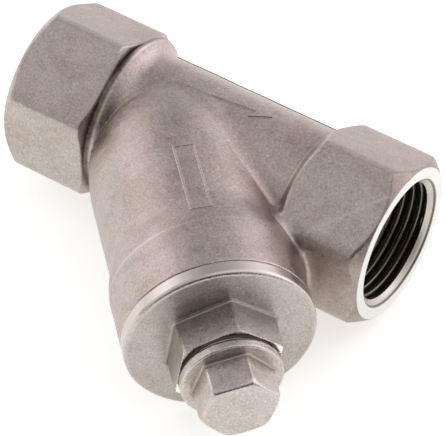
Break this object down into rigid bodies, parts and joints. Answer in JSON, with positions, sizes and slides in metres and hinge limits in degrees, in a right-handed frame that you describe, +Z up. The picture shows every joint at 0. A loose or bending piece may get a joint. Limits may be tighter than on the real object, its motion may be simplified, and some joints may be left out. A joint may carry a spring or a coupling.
{
  "type": "y strainer",
  "caption": "Screwed Y-pattern pipe strainer, stainless casting with hexagon ends, slanted screen branch, screwed hexagon cap and drain plug.",
  "frame": {"origin": "centre of the inlet end face, on the pipe axis", "axes": "+X along the pipe axis in the direction of flow, +Z up and square to the plane that holds the pipe axis and the branch axis; the branch points towards +X and -Y"},
  "size_m": [0.0817, 0.0715, 0.0364],
  "materials": {
    "cast_stainless": "investment cast and bead blasted, satin",
    "machined_stainless": "turned, bright",
    "screen_steel": "perforated sheet, bright",
    "mesh_steel": "woven wire",
    "ptfe": "plain white PTFE"
  },
  "bodies": {
    "strainer_body": {"body": "cast_stainless"},
    "screen": {"screen_tube": "screen_steel", "screen_mesh": "mesh_steel", "screen_upper_ring": "machined_stainless", "screen_lower_ring": "machined_stainless"},
    "cap_seal": {"cap_gasket": "ptfe"},
    "cap_unit": {"cap": "cast_stainless"},
    "plug_seal": {"plug_gasket": "ptfe"},
    "plug_unit": {"drain_plug": "cast_stainless"}
  },
  "joints": [
    {"name": "withdraw_screen", "type": "slide", "parent": "strainer_body", "child": "screen", "axis": [0.7071, -0.7071, 0], "range_m": [0, 0.05]},
    {"name": "cap_travel", "type": "slide", "parent": "screen", "child": "cap_seal", "axis": [0.7071, -0.7071, 0], "range_m": [0, 0.008]},
    {"name": "cap_turn", "type": "hinge", "parent": "cap_seal", "child": "cap_unit", "pos_m": [0.06229, -0.03571, 0], "axis": [0.7071, -0.7071, 0], "range_deg": [0, 1908]},
    {"name": "plug_travel", "type": "slide", "parent": "cap_unit", "child": "plug_seal", "axis": [0.7071, -0.7071, 0], "range_m": [0, 0.009]},
    {"name": "plug_turn", "type": "hinge", "parent": "plug_seal", "child": "plug_unit", "pos_m": [0.06993, -0.04335, 0], "axis": [0.7071, -0.7071, 0], "range_deg": [0, 2376]}
  ],
  "couplings": [
    {"joint": "cap_travel", "follows": "cap_turn", "m_per_rad": 0.00023873},
    {"joint": "plug_travel", "follows": "plug_turn", "m_per_rad": 0.00021279}
  ]
}
